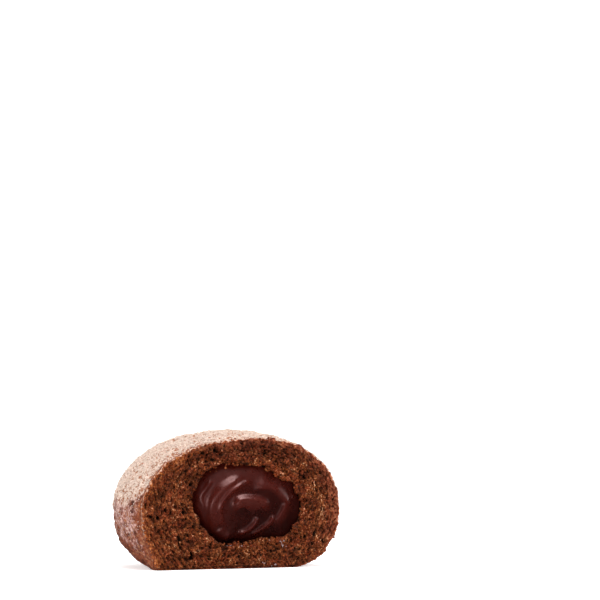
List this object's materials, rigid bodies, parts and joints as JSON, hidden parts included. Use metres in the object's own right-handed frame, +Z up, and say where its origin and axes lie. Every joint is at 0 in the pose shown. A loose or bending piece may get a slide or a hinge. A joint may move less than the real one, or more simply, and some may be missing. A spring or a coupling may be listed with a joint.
{
  "type": "doughnut hole",
  "caption": "Small round chocolate doughnut hole, cut open to show a crumb wall round a pocket of glossy chocolate cream.",
  "frame": {"origin": "middle of the bottom of the part's box, on the surface that the part rests on", "axes": "+Z up, the cut face looks along -Y, +X to the right of the cut face"},
  "size_m": [0.0468, 0.0322, 0.0284],
  "materials": {
    "dough": "matte brown fried dough with an open crumb, dusted with sugar",
    "cream": "glossy dark chocolate cream"
  },
  "bodies": {
    "root": {"dough": "dough", "cream": "cream"}
  },
  "joints": []
}
